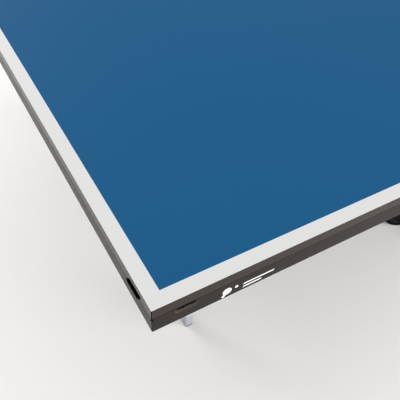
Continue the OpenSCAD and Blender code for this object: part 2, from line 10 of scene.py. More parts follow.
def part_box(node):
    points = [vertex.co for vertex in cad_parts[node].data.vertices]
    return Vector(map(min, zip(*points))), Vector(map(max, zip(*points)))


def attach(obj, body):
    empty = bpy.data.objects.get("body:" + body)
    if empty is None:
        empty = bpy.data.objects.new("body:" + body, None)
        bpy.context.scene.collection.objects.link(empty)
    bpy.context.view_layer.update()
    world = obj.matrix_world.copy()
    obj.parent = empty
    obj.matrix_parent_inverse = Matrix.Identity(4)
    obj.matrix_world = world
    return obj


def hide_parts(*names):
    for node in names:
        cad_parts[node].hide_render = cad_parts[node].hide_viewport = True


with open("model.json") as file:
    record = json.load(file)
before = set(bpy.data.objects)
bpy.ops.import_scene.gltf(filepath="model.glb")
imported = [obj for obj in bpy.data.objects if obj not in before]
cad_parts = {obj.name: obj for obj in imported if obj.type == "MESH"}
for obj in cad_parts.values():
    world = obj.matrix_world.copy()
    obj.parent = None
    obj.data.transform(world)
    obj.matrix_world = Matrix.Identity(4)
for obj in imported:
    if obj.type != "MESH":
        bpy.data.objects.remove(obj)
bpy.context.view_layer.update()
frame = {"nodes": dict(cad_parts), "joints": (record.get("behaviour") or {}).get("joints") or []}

MM = 0.001
HALVES = (("a", -1), ("b", 1))
SIDES = (("left", -1), ("right", 1))
SCENE = bpy.context.scene
NODES = frame["nodes"]
random.seed(7)  # the turn of each wood screw's cross

# ---------- levels and places, read from the frame ----------

TOP_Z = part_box("board_a")[1].z
BOARD_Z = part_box("board_a")[0].z
HALF_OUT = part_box("edge_band_b")[1].x
HALF_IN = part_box("edge_band_b")[0].x
SIDE_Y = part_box("edge_band_b")[1].y
RAIL_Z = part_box("outer_end_rail_b")[0].z


# ---------- materials ----------

class Look:
    """One procedural material, built by chaining a few texture helpers onto a Principled shader."""

    def __init__(self, name, color, roughness, metallic=0.0, specular=0.5, sheen=0.0):
        self.material = bpy.data.materials.new(name)
        self.material.use_nodes = True
        self.tree = self.material.node_tree
        self.shader = self.tree.nodes["Principled BSDF"]
        self.color = tuple(srgb(c) for c in color)
        self.set("Base Color", (*self.color, 1))
        self.set("Roughness", roughness)
        self.set("Metallic", metallic)
        self.set("Specular IOR Level", specular)
        if sheen:
            self.set("Sheen Weight", sheen)
            self.set("Sheen Roughness", 0.5)
        self.material.diffuse_color = (*self.color, 1)
        self.last_bump = None

    def set(self, socket, value):
        self.shader.inputs[socket].default_value = value

    def node(self, kind, **values):
        made = self.tree.nodes.new(kind)
        for name, value in values.items():
            setattr(made, name, value)
        return made

    def link(self, a, b):
        self.tree.links.new(a, b)

    def place(self, stretch=(1, 1, 1)):
        """Object coordinates in metres, stretched along the axes."""
        coords = self.node("ShaderNodeTexCoord")
        mapping = self.node("ShaderNodeMapping")
        mapping.inputs["Scale"].default_value = stretch
        self.link(coords.outputs["Object"], mapping.inputs["Vector"])
        return mapping.outputs["Vector"]

    def noise(self, size, detail=3.0, stretch=(1, 1, 1)):
        """Noise whose features are about size metres across, from 0 to 1."""
        noise = self.node("ShaderNodeTexNoise")
        noise.inputs["Scale"].default_value = 1 / size
        noise.inputs["Detail"].default_value = detail
        noise.inputs["Roughness"].default_value = 0.5
        self.link(self.place(stretch), noise.inputs["Vector"])
        return noise.outputs["Fac"]

    def spread(self, factor, low, high):
        """The middle of a noise's range, 0.3 to 0.7, mapped to low to high."""
        spread = self.node("ShaderNodeMapRange")
        for name, value in (("From Min", 0.3), ("From Max", 0.7), ("To Min", low), ("To Max", high)):
            spread.inputs[name].default_value = value
        self.link(factor, spread.inputs["Value"])
        return spread.outputs["Result"]

    def bump(self, factor, height):
        """Relief of that height in metres, on top of any relief that the material has already."""
        bump = self.node("ShaderNodeBump")
        bump.inputs["Distance"].default_value = height
        bump.inputs["Strength"].default_value = 1.0
        self.link(factor, bump.inputs["Height"])
        if self.last_bump:
            self.link(self.last_bump, bump.inputs["Normal"])
        self.last_bump = bump.outputs["Normal"]
        self.link(self.last_bump, self.shader.inputs["Normal"])
        return self

    def vary_color(self, factor, darker, lighter):
        """Mixes between the base colour times darker and times lighter."""
        mix = self.node("ShaderNodeMix", data_type="RGBA")
        mix.inputs["A"].default_value = (*(min(1, c * darker) for c in self.color), 1)
        mix.inputs["B"].default_value = (*(min(1, c * lighter) for c in self.color), 1)
        self.link(factor, mix.inputs["Factor"])
        self.link(mix.outputs["Result"], self.shader.inputs["Base Color"])
        return self

    def vary_roughness(self, factor, low, high):
        self.link(self.spread(factor, low, high), self.shader.inputs["Roughness"])
        return self


def srgb(value):
    """An sRGB value from 0 to 255 as the linear value that the shader takes."""
    c = value / 255
    return c / 12.92 if c <= 0.04045 else ((c + 0.055) / 1.055) ** 2.4


def blue_lacquer():
    look = Look("blue_lacquer", (25, 91, 137), 0.6, specular=0.08)
    look.vary_color(look.noise(0.6, 2), 0.97, 1.03)
    look.vary_roughness(look.noise(0.25, 2), 0.6, 0.64)
    look.bump(look.noise(0.0006, 2), 0.00002)
    return look.material


def line_paint():
    look = Look("line_paint", (229, 229, 228), 0.5, specular=0.2)
    look.vary_color(look.noise(0.12, 3), 0.985, 1.0)
    look.vary_roughness(look.noise(0.01, 3), 0.45, 0.58)
    look.bump(look.noise(0.0005, 2), 0.00002)
    return look.material


def board_underside():
    look = Look("board_underside", (66, 63, 60), 0.75)
    look.vary_color(look.noise(0.002, 5), 0.8, 1.2)
    look.vary_roughness(look.noise(0.03, 3), 0.7, 0.82)
    look.bump(look.noise(0.0012, 4), 0.00006)
    return look.material


def edge_plastic():
    look = Look("edge_plastic", (40, 31, 25), 0.25, specular=0.15)
    look.vary_color(look.noise(0.04, 3), 0.96, 1.04)
    look.vary_roughness(look.noise(0.004, 3, (0.2, 0.2, 1)), 0.24, 0.31)
    look.bump(look.noise(0.0009, 2), 0.000015)
    return look.material


def frame_coat():
    look = Look("frame_coat", (32, 25, 22), 0.3, specular=0.09)
    look.vary_color(look.noise(0.0011, 3), 0.93, 1.07)
    look.vary_roughness(look.noise(0.02, 3), 0.3, 0.36)
    look.bump(look.noise(0.0013, 3), 0.00004)
    return look.material


def silver_coat():
    look = Look("silver_coat", (188, 191, 195), 0.42, metallic=0.1)
    look.vary_color(look.noise(0.0008, 2), 0.95, 1.04)
    look.vary_roughness(look.noise(0.02, 3), 0.38, 0.48)
    look.bump(look.noise(0.0015, 3), 0.00003)
    return look.material


def zinc_plate():
    look = Look("zinc_plate", (176, 178, 180), 0.36, metallic=0.95)
    look.vary_color(look.noise(0.006, 4), 0.86, 1.06)
    look.vary_roughness(look.noise(0.01, 4), 0.28, 0.46)
    look.bump(look.noise(0.0009, 3, (1, 1, 6)), 0.00002)
    return look.material


def bright_steel():
    look = Look("bright_steel", (190, 190, 192), 0.26, metallic=1.0)
    look.vary_roughness(look.noise(0.004, 3), 0.2, 0.36)
    look.vary_color(look.noise(0.003, 3), 0.9, 1.05)
    look.bump(look.noise(0.0007, 2), 0.00001)
    return look.material


def plastic(name="black_plastic", color=(24, 24, 25), roughness=0.46, grain=0.0006, specular=0.5):
    look = Look(name, color, roughness, specular=specular)
    look.vary_color(look.noise(0.01, 3), 0.85, 1.15)
    look.vary_roughness(look.noise(0.006, 3), roughness - 0.05, roughness + 0.06)
    look.bump(look.noise(grain, 2), 0.00003)
    return look.material


# Near-black, almost unreflecting colour for the slot inserts: painted shade, standing in for the dark
# depth of the open slots.
def painted_slot_shade():
    look = Look("painted_slot_shade", (5, 5, 5), 0.95, specular=0.02)
    look.vary_color(look.noise(0.004, 3), 0.7, 1.3)
    look.bump(look.noise(0.001, 3), 0.00004)
    return look.material


def tread_rubber():
    look = Look("tread_rubber", (6, 6, 6), 0.75, specular=0.06)
    look.vary_color(look.noise(0.012, 4), 0.75, 1.35)
    look.vary_roughness(look.noise(0.01, 3), 0.65, 0.82)
    look.bump(look.noise(0.0009, 3), 0.00006)
    return look.material


def net_cord_fabric():
    look = Look("net_cord", (26, 36, 44), 0.85, sheen=0.3)
    look.vary_color(look.noise(0.0008, 2), 0.7, 1.3)
    look.bump(look.noise(0.0005, 2, (1, 1, 3)), 0.0001)
    return look.material


def weave(look, pitch, height):
    """Two crossed bands of waves in the plane of the net (Y and Z), as threads that pass over and under.
    A wave texture's phase is 20 times its scaled place, so that one wave takes two pitches."""
    place = look.place()
    waves = []
    for direction in ("Y", "Z"):
        wave = look.node("ShaderNodeTexWave", bands_direction=direction)
        wave.inputs["Scale"].default_value = 1 / (pitch * 20 / math.pi)
        look.link(place, wave.inputs["Vector"])
        waves.append(wave.outputs["Fac"])
    both = look.node("ShaderNodeMath", operation="MULTIPLY")
    look.link(waves[0], both.inputs[0])
    look.link(waves[1], both.inputs[1])
    look.bump(both.outputs["Value"], height)
    return both.outputs["Value"]


def cotton_tape():
    look = Look("cotton_tape", (232, 231, 226), 0.8, sheen=0.25)
    threads = weave(look, 0.0009, 0.00012)
    look.vary_color(threads, 0.9, 1.02)
    return look.material


def decal_print():
    look = Look("decal_print", (236, 236, 233), 0.42)
    look.vary_color(look.noise(0.004, 2), 0.98, 1.0)
    look.bump(look.noise(0.0008, 2), 0.00001)
    return look.material


def studio_floor():
    look = Look("studio_floor", (248, 246, 244), 0.85, specular=0.1)
    look.vary_color(look.noise(1.5, 2), 0.99, 1.01)
    look.bump(look.noise(0.01, 2), 0.0001)
    return look.material


BLUE = blue_lacquer()
WHITE = line_paint()
UNDERSIDE = board_underside()
BAND = edge_plastic()
COAT = frame_coat()
SILVER = silver_coat()
ZINC = zinc_plate()
STEEL = bright_steel()
BLACK = plastic()
SLOT_SHADE = painted_slot_shade()
# Light grey for the lower half of the side slots: painted light on each slot's lit lower face
SLOT_LIGHT = plastic("slot_painted_light", (118, 111, 105), 0.8, 0.0008)
KNOB = plastic("knob_plastic", (16, 16, 17), 0.24, 0.0012)
FOOT = plastic("foot_plastic", (164, 167, 171), 0.5, 0.0008)
CASTER = plastic("caster_plastic", (10, 10, 11), 0.42, 0.0009, 0.15)
RIM = plastic("rim_plastic", (9, 9, 10), 0.45, 0.0009, 0.12)
TREAD = tread_rubber()
PEDAL = plastic("pedal_plastic", (160, 26, 20), 0.34, 0.001)
POST = plastic("post_coat", (44, 44, 46), 0.4, 0.0012)
CORD = net_cord_fabric()
TAPE = cotton_tape()
PRINT = decal_print()


# ---------- carried CAD nodes ----------

def bevel_edges(piece, width):
    """A modifier that rounds a piece's sharp edges."""
    soften = piece.modifiers.new("soften", "BEVEL")
    soften.width, soften.segments, soften.limit_method = width, 2, "ANGLE"
    return soften


def dress(node, material, bevel):
    """Gives a CAD node its material, and softens its sharp edges as the real part's are. A bevel of 0 is
    for round parts, whose own smooth shading a bevel would break."""
    piece = NODES[node]
    piece.data.materials.clear()
    piece.data.materials.append(material)
    if bevel:
        piece.modifiers.new("weld", "WELD").merge_threshold = 1e-6
        soften = bevel_edges(piece, bevel)
        soften.angle_limit = math.radians(40)
        soften.harden_normals = True


def paint_below(node, material):
    """Every face of a CAD node but its upper face takes this second material."""
    piece = NODES[node]
    piece.data.materials.append(material)
    for face in piece.data.polygons:
        face.material_index = 0 if face.normal.z > 0.9 and face.center.z > TOP_Z - MM else 1


# Node, material and bevel in millimetres. A half's nodes end in its letter.
# The slot inserts take painted shade, near-black, for the dark depth of the slots.
HALF_LOOKS = (
    ("board_", BLUE, 0), ("edge_band_", BAND, 0.25), ("outer_end_rail_", COAT, 0.3),
    ("inner_end_rail_", COAT, 0.3), ("side_rails_", COAT, 0.3), ("slot_inserts_", SLOT_SHADE, 0.3),
    ("corner_gussets_", ZINC, 0.4), ("stiffener_beams_", SILVER, 0.7), ("hinge_brackets_", ZINC, 0.6),
    ("leg_tubes_", SILVER, 0.6), ("leg_crossbars_", SILVER, 0.6), ("leg_pins_", STEEL, 0),
    ("leg_plugs_", BLACK, 0.5), ("strut_bars_", SILVER, 0.8))
TROLLEY_LOOKS = (
    ("base_rails", SILVER, 0.9), ("uprights", SILVER, 0.9), ("cross_tubes", SILVER, 0.9),
    ("net_carrier", SILVER, 0.9), ("pivot_plates", ZINC, 0.6), ("tube_caps", BLACK, 1.0),
    ("caster_plates", ZINC, 0.6), ("trolley_pins", STEEL, 0), ("lock_housings", STEEL, 0))
CASTERS = (1, 2, 3, 4)
BRAKED_CASTERS = (1, 3)

for k, _ in HALVES:
    for node, material, bevel in HALF_LOOKS:
        dress(node + k, material, bevel * MM)
    paint_below("board_" + k, UNDERSIDE)
for node, material, bevel in TROLLEY_LOOKS:
    dress(node, material, bevel * MM)
for k in CASTERS:
    dress("caster_%d_fork" % k, CASTER, 1.0 * MM)
for k in BRAKED_CASTERS:
    dress("caster_%d_brake" % k, PEDAL, 1.0 * MM)


# ---------- mesh helpers ----------

def as_mesh(name, bm):
    """bm as a mesh. It can't be used as bm after this."""
    mesh = bpy.data.meshes.new(name)
    bm.to_mesh(mesh)
    bm.free()
    return mesh


def put_in_scene(name, data):
    made = bpy.data.objects.new(name, data)
    SCENE.collection.objects.link(made)
    return made


def add_piece(name, bm, body, material, replaces=(), sharp=35):
    """Makes an object of bm, smooth but for edges over sharp degrees, and lets it ride on body."""
    bmesh.ops.recalc_face_normals(bm, faces=bm.faces)
    limit = math.radians(sharp)
    for edge in bm.edges:
        edge.smooth = len(edge.link_faces) == 2 and edge.calc_face_angle(0) < limit
    for face in bm.faces:
        face.smooth = True
    piece = put_in_scene(name, as_mesh(name, bm))
    piece.data.materials.append(material)
    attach(piece, body)
    if replaces:
        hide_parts(*replaces)
    return piece


def prism(bm, outline, place, depth):
    """A plate of an outline of (u, v) points. place(u, v, w) gives each point; w is 0 and depth."""
    low = [bm.verts.new(place(u, v, 0)) for u, v in outline]
    high = [bm.verts.new(place(u, v, depth)) for u, v in outline]
    bm.faces.new(list(reversed(low)))
    bm.faces.new(high)
    for i in range(len(outline)):
        j = (i + 1) % len(outline)
        bm.faces.new((low[i], low[j], high[j], high[i]))


def lathe(bm, profile, turn, segments, closed=True, wave=None):
    """Turns a profile of (radius, height) points about an axis. turn(x, y, z) places each point, with z
    along the axis. A profile that isn't closed gets a face at each end. wave(angle) scales the radius,
    for flutes."""
    rings = []
    for i in range(segments):
        angle = 2 * math.pi * i / segments
        k = wave(angle) if wave else 1
        rings.append([bm.verts.new(turn(r * k * math.cos(angle), r * k * math.sin(angle), z))
                      for r, z in profile])
    last = len(profile) if closed else len(profile) - 1
    for i in range(segments):
        a, b = rings[i], rings[(i + 1) % segments]
        for j in range(last):
            n = (j + 1) % len(profile)
            bm.faces.new((a[j], b[j], b[n], a[n]))
    if not closed:
        bm.faces.new([r[0] for r in reversed(rings)])
        bm.faces.new([r[-1] for r in rings])


ASKEW = Vector((0.31, 0.17, 0.93))   # a direction that no cord runs in
CORD_SIDES = 4


def tube(bm, points, radius):
    """A cord of that radius along points."""
    rings = []
    last = len(points) - 1
    for i, point in enumerate(points):
        along = (points[min(i + 1, last)] - points[max(i - 1, 0)]).normalized()
        side = along.cross(ASKEW if abs(along.z) < 0.9 else Vector((1, 0, 0)))
        side.normalize()
        other = along.cross(side)
        rings.append([bm.verts.new(point + radius * (math.cos(t) * side + math.sin(t) * other))
                      for t in (2 * math.pi * j / CORD_SIDES for j in range(CORD_SIDES))])
    for a, b in zip(rings, rings[1:]):
        for j in range(CORD_SIDES):
            n = (j + 1) % CORD_SIDES
            bm.faces.new((a[j], a[n], b[n], b[j]))
    bm.faces.new(list(reversed(rings[0])))
    bm.faces.new(rings[-1])


def clusters(node, reach):
    """The boxes of a node's separate solids, for small solids that stand further apart than reach when
    seen from above."""
    groups = []
    for vertex in NODES[node].data.vertices:
        co = vertex.co
        for lo, hi, seed in groups:
            if (co.xy - seed).length < reach:
                for i in range(3):
                    lo[i] = min(lo[i], co[i])
                    hi[i] = max(hi[i], co[i])
                break
        else:
            groups.append((co.copy(), co.copy(), co.xy.copy()))
    return [(lo, hi) for lo, hi, _ in groups]


def joint(name):
    return next(j for j in frame["joints"] if j["name"] == name)


# ---------- painted lines, printed marks, painted light in the side slots, and mitres ---

LINE_W = 20 * MM
CENTRE_LINE_W = 3 * MM
PAINT_T = 0.08 * MM
EDGE_SET_BACK = 0.15 * MM        # the paint stops this short of the board's edge
MARK_FROM_CORNER = 98 * MM
MARK_BELOW_TOP = 33.5 * MM
PRINT_T = 0.05 * MM

# The slots in the side rails, and the thin light liner in the lower half of each one: painted light on the
# slot's lit lower face
SIDE_SLOT_FROM_CORNER = 44.5 * MM
SIDE_SLOT_BELOW_TOP = 23.2 * MM
SIDE_SLOT_STRAIGHT = 10.3 * MM   # half of its straight part
SIDE_SLOT_R = 5.15 * MM          # of its round ends
LINER_T = 0.3 * MM
LINER_INSET = 0.25 * MM
LINER_DEPTH = 3.5 * MM

# The rails' section at the mitres
RAIL_T = 2 * MM
LOW_FLANGE = 14 * MM
TOP_FLANGE = 24 * MM
MITRE_GAP = 0.8 * MM
CORNER_NOTCH = 4 * MM


def painted_lines(k, s):
    """The white line along the two sides and the outer end of a half, and its centre line."""
    x0, x1, y1 = HALF_IN + EDGE_SET_BACK, HALF_OUT - EDGE_SET_BACK, SIDE_Y - EDGE_SET_BACK
    xi, yi = HALF_OUT - LINE_W, SIDE_Y - LINE_W
    border = [(x0, -y1), (x1, -y1), (x1, y1), (x0, y1), (x0, yi), (xi, yi), (xi, -yi), (x0, -yi)]
    half_w = CENTRE_LINE_W / 2
    centre = [(x0, -half_w), (xi, -half_w), (xi, half_w), (x0, half_w)]
    bm = bmesh.new()
    for outline in (border, centre):
        prism(bm, outline, lambda u, v, w: (s * u, v, TOP_Z + w), PAINT_T)
    add_piece("white_lines_" + k, bm, "half_" + k, WHITE)


def arc(cx, cy, r, start, end, count):
    """Points on a circle from start to end, in degrees."""
    step = (end - start) / count
    return [(cx + r * math.cos(math.radians(start + i * step)),
             cy + r * math.sin(math.radians(start + i * step))) for i in range(count + 1)]


def bat_and_ball():
    """Outlines in millimetres of a bat with its handle, a ball, and two plain bars."""
    lean = math.radians(-32)
    blade = arc(0, 0, 6.2, -70, 250, 28)
    handle = [(-1.9, -5.8), (-2.2, -11.2), (2.2, -11.2), (1.9, -5.8)]
    bat = [(x * math.cos(lean) - y * math.sin(lean), x * math.sin(lean) + y * math.cos(lean) + 2.2)
           for x, y in blade + handle]
    ball = arc(13, 3.4, 2.3, 0, 345, 23)
    bars = [[(x0, y - 1.3), (x1, y - 1.3), (x1 + 1.3, y + 1.3), (x0 + 1.3, y + 1.3)]
            for x0, x1, y in ((22, 66, 2.4), (22, 48, -3.6))]
    return [bat, ball] + bars


def printed_marks(k, s):
    """A generic bat and ball with two bars, printed on both side rails near the outer corners."""
    start = HALF_OUT - MARK_FROM_CORNER
    middle = TOP_Z - MARK_BELOW_TOP
    bm = bmesh.new()
    for _, sy in SIDES:
        for outline in bat_and_ball():
            prism(bm, outline, lambda u, v, w: (s * (start - u * MM), sy * (SIDE_Y + w),
                                                middle + v * MM), PRINT_T)
    add_piece("rail_marks_" + k, bm, "half_" + k, PRINT)


def painted_slot_light(k, s):
    """A thin, light grey matt liner along the lower half of each side slot's collar: painted light, where
    light falls on the slot's lower face.
    """
    middle_x, middle_z = HALF_OUT - SIDE_SLOT_FROM_CORNER, TOP_Z - SIDE_SLOT_BELOW_TOP
    straight, r = SIDE_SLOT_STRAIGHT, SIDE_SLOT_R
    outer = arc(straight, 0, r, -90, 0, 8)
    profile = [(-u, v) for u, v in reversed(outer)] + outer
    thinner = [(u * (1 - LINER_T / (straight + r)), v * (1 - LINER_T / r)) for u, v in reversed(profile)]
    bm = bmesh.new()
    for _, sy in SIDES:
        prism(bm, profile + thinner,
              lambda u, v, w: (s * (middle_x + u), sy * (SIDE_Y - LINER_INSET - w), middle_z + v),
              LINER_DEPTH)
    add_piece("painted_slot_light_" + k, bm, "half_" + k, SLOT_LIGHT)


def mitre_welds(k, s):
    """Filler in the rails' mitred corners, ground flush with both faces. It stops below the notches."""
    diagonal = math.sqrt(2)
    clear = 0.05 * MM
    outer, bead = MITRE_GAP / diagonal + clear, RAIL_T * diagonal + 0.4 * MM
    low = RAIL_Z + clear
    flange = RAIL_Z + RAIL_T - clear
    web = [(outer, low), (LOW_FLANGE * diagonal, low), (LOW_FLANGE * diagonal, flange),
           (bead + 0.6 * MM, flange), (bead, flange + 0.6 * MM), (bead, BOARD_Z - CORNER_NOTCH - clear),
           (outer, BOARD_Z - CORNER_NOTCH - clear)]
    top = [(bead, BOARD_Z - RAIL_T + clear), (TOP_FLANGE * diagonal, BOARD_Z - RAIL_T + clear),
           (TOP_FLANGE * diagonal, BOARD_Z - clear), (bead, BOARD_Z - clear)]
    half_w = MITRE_GAP / diagonal - clear
    bm = bmesh.new()
    for corner_x, sx in ((HALF_OUT, 1), (HALF_IN, -1)):
        for _, sy in SIDES:
            for outline in (web, top):
                prism(bm, outline, lambda u, v, w: (
                    s * (corner_x - sx * (u + w - half_w) / diagonal),
                    sy * (SIDE_Y - (u - w + half_w) / diagonal), v), 2 * half_w)
    add_piece("mitre_welds_" + k, bm, "half_" + k, COAT)


for k, s in HALVES:
    painted_lines(k, s)
    printed_marks(k, s)
    painted_slot_light(k, s)
    mitre_welds(k, s)


# ---------- screws and locks ----------

SCREW_HEAD_H = 2.5 * MM
SCREW_REACH = 8 * MM   # a screw is narrower than this, and its neighbours are further away


def cross_head_screw():
    """Mesh of one pan head screw in millimetres, head down, with a cross recess. The head's seat is at
    the origin."""
    head, cross = bmesh.new(), bmesh.new()
    # (radius, height), from the head's middle up to the shank
    profile = [(0.001, -2.5), (1.6, -2.45), (2.9, -2.05), (3.7, -1.25), (4.0, -0.4), (3.9, 0), (2.35, 0),
               (2.35, 1.6)]
    lathe(head, profile, lambda x, y, z: (x, y, z), 24, closed=False)
    arm = [(-1.9, -0.42), (1.9, -0.42), (1.9, 0.42), (-1.9, 0.42)]
    for turned in (False, True):
        prism(cross, arm, lambda u, v, w: (-v, u, w - 3.2) if turned else (u, v, w - 3.2), 1.9)
    made = []
    for name, bm in (("screw", head), ("cross", cross)):
        bmesh.ops.recalc_face_normals(bm, faces=bm.faces)
        made.append(put_in_scene(name, as_mesh(name, bm)))
    cut = made[0].modifiers.new("recess", "BOOLEAN")
    cut.operation, cut.solver, cut.use_self = "DIFFERENCE", "EXACT", True
    cut.object = made[1]
    depsgraph = bpy.context.evaluated_depsgraph_get()
    result = bpy.data.meshes.new_from_object(made[0].evaluated_get(depsgraph))
    for o in made:
        bpy.data.objects.remove(o)
    return result


def wood_screws(k, screw):
    """A detailed screw for each of the node's plain ones, each turned by its own angle."""
    bm = bmesh.new()
    for lo, hi in clusters("screws_" + k, SCREW_REACH):
        middle = (lo + hi) / 2
        before = len(bm.verts)
        bm.from_mesh(screw)
        bm.verts.ensure_lookup_table()
        place = (Matrix.Translation((middle.x, middle.y, lo.z + SCREW_HEAD_H)) @ Matrix.Scale(MM, 4)
                 @ Matrix.Rotation(random.uniform(0, math.pi), 4, "Z"))
        bmesh.ops.transform(bm, matrix=place, verts=bm.verts[before:])
    add_piece("wood_screws_" + k, bm, "half_" + k, STEEL, ["screws_" + k], 30)


def lock_parts(k, side, sy):
    """The fluted knob and the steel pin of a lock, along the CAD lock's own axis."""
    node = "lock_%s_%s" % (k, side)
    lo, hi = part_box(node)
    x, z = (lo.x + hi.x) / 2, (lo.z + hi.z) / 2
    near = min(abs(lo.y), abs(hi.y))
    far = max(abs(lo.y), abs(hi.y))

    def along_y(u, v, w):
        return (x + u, sy * (near + w), z + v)

    # (radius, distance from the end that a hand pulls), in millimetres
    knob = [(2.5, 0), (6.5, 0), (9.0, 0.8), (10.6, 2.6), (11.4, 5.4), (11.4, 11.4), (10.2, 13.6),
            (7.2, 14.4), (6.8, 16.8), (4.05, 17)]
    bm = bmesh.new()
    lathe(bm, [(r * MM, w * MM) for r, w in knob], along_y, 72,
          wave=lambda t: 1 - 0.045 * max(0, math.cos(9 * t)) ** 3)
    add_piece("lock_knob_%s_%s" % (k, side), bm, node, KNOB, [node], 50)
    bm = bmesh.new()
    length = far - near
    pin = [(0.5 * MM, 1 * MM), (3.4 * MM, 1 * MM), (4 * MM, 1.6 * MM), (4 * MM, length - 1.2 * MM),
           (3 * MM, length), (0.5 * MM, length)]
    lathe(bm, pin, along_y, 32, closed=False)
    add_piece("lock_pin_%s_%s" % (k, side), bm, node, STEEL)


SCREW = cross_head_screw()
for k, s in HALVES:
    wood_screws(k, SCREW)
    for side, sy in SIDES:
        lock_parts(k, side, sy)


# ---------- feet ----------

# In millimetres, as all heights in levelling_foot are
FOOT_H = 44
GLIDE_H = 2.8
THREAD_PITCH = 1.5
THREAD_R = 5
THREAD_ROOT_R = 4.35


def rounded_stack(bm, middle, half, radius, levels):
    """A closed block with rounded corners about middle, a place in metres. The half widths along X and Y,
    the corners' radius and the levels, (inset, height) from the bottom, are in millimetres."""
    rings = []
    for inset, z in levels:
        a, b = half[0] - inset - radius, half[1] - inset - radius
        corners = ((a, b, 0), (-a, b, 90), (-a, -b, 180), (a, -b, 270))
        outline = [point for x, y, turn in corners for point in arc(x, y, radius, turn, turn + 90, 4)]
        rings.append([bm.verts.new((middle.x + x * MM, middle.y + y * MM, z * MM)) for x, y in outline])
    for low, high in zip(rings, rings[1:]):
        for i in range(len(low)):
            j = (i + 1) % len(low)
            bm.faces.new((low[i], low[j], high[j], high[i]))
    bm.faces.new(list(reversed(rings[0])))
    bm.faces.new(rings[-1])


def levelling_foot(k, side):
    """A foot's moulded shoe, the black glide under it, and the threaded spindle that goes into the leg."""
    node = "foot_%s_%s" % (k, side)
    lo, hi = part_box(node)
    middle = (lo + hi) / 2
    half = ((hi.x - lo.x) / 2 / MM, (hi.y - lo.y) / 2 / MM)
    shoe, glide, spindle = bmesh.new(), bmesh.new(), bmesh.new()
    rounded_stack(shoe, middle, half, 1.6, [
        (0.7, GLIDE_H - 0.1), (0.1, GLIDE_H + 0.5), (0, GLIDE_H + 1.5), (0, FOOT_H - 1.2),
        (0.3, FOOT_H - 0.4), (1.0, FOOT_H)])
    add_piece("foot_shoe_%s_%s" % (k, side), shoe, node, FOOT, [node], 50)
    rounded_stack(glide, middle, half, 1.8, [
        (1.2, 0), (0.4, 0.6), (0.2, 1.2), (0.2, GLIDE_H - 0.4), (0.5, GLIDE_H - 0.1)])
    add_piece("foot_glide_%s_%s" % (k, side), glide, node, TREAD, sharp=50)
    root, tip = FOOT_H - 1, hi.z / MM
    turns = int((tip - 1 - root) / THREAD_PITCH)
    profile = [(4.3, root)]
    for i in range(turns):
        z = root + (i + 0.25) * THREAD_PITCH
        profile += [(THREAD_ROOT_R, z), (THREAD_R, z + 0.4 * THREAD_PITCH),
                    (THREAD_R, z + 0.5 * THREAD_PITCH)]
    profile += [(4.3, tip - 0.6), (3.6, tip)]
    lathe(spindle, [(r * MM, z * MM) for r, z in profile],
          lambda x, y, z: (middle.x + x, middle.y + y, z), 24, closed=False)
    add_piece("foot_spindle_%s_%s" % (k, side), spindle, node, STEEL, sharp=50)


for k, _ in HALVES:
    for side, _ in SIDES:
        levelling_foot(k, side)


# ---------- casters ----------

WHEEL_SIDES = 96
RIM_RIBS = 6


def caster_wheels(k):
    """Grooved tyres and ribbed rims, for both wheels of a caster. The profiles are (radius, distance
    from the caster's middle along the axle), in millimetres."""
    node = "caster_%d_wheels" % k
    roll = joint("caster_%d_roll" % k)
    axis = Vector(roll["axis"]).normalized()
    across = axis.cross(Vector((0, 0, 1)))
    centre = Vector(roll["pos_m"])
    tyre = [(48.6, 9.6), (59.4, 9.6), (61.4, 10.3), (62.4, 12), (62.5, 16), (61.8, 16.3), (61.8, 17.3),
            (62.5, 17.6), (62.5, 22.4), (61.8, 22.7), (61.8, 23.7), (62.5, 24), (62.4, 28), (61.4, 29.7),
            (59.4, 30.4), (48.6, 30.4)]
    rim = [(5.4, 9.2), (49, 9.2), (49.2, 9.8), (49.2, 30.5), (47.6, 30.9), (46, 30.2), (44.6, 26),
           (43.6, 25.2), (18, 24.8), (16.4, 25.4), (15, 27.6), (13.8, 28), (5.4, 28)]
    tyres, rims = bmesh.new(), bmesh.new()
    for side in (-1, 1):
        def place(u, v, w):
            return centre + u * MM * across + Vector((0, 0, v * MM)) + side * w * MM * axis

        lathe(tyres, tyre, place, WHEEL_SIDES)
        lathe(rims, rim, place, WHEEL_SIDES)
        for i in range(RIM_RIBS):
            turn = 2 * math.pi * i / RIM_RIBS + 0.3
            c, n = math.cos(turn), math.sin(turn)
            rib = [(14, -2.6), (45, -1.8), (45, 1.8), (14, 2.6)]
            prism(rims, [(x * c - y * n, x * n + y * c) for x, y in rib],
                  lambda u, v, w: place(u, v, 24.4 + w), 4.0)
    add_piece("caster_%d_tyres" % k, tyres, node, TREAD, [node])
    piece = add_piece("caster_%d_rims" % k, rims, node, RIM)
    bevel_edges(piece, 0.5 * MM)


def pedal_grips(k):
    """Ribs across the upper face of a brake pedal's pad, from its heel to its toe. Each rib's section is
    (distance out from the pivot, height above it), in millimetres."""
    pedal = joint("caster_%d_brake_pedal" % k)
    pivot = Vector(pedal["pos_m"])
    axis = Vector(pedal["axis"]).normalized()
    along = pivot - Vector(joint("caster_%d_swivel" % k)["pos_m"])
    along.z = 0
    along.normalize()
    heel, toe, half_w, count = Vector((26, 2.8)), Vector((56, -6.1)), 18, 6
    bm = bmesh.new()
    for i in range(count):
        u0, v0 = heel.lerp(toe, i / (count - 1))
        rib = [(u0 - 1.2, v0 - 0.5), (u0 + 1.2, v0 - 1.2), (u0 + 0.9, v0 + 0.9), (u0 - 0.7, v0 + 1.3)]
        prism(bm, rib, lambda u, v, w: pivot + (u * along + (w - half_w) * axis) * MM
              + Vector((0, 0, v * MM)), 2 * half_w)
    piece = add_piece("pedal_grips_%d" % k, bm, "caster_%d_brake" % k, PEDAL)
    bevel_edges(piece, 0.35 * MM)


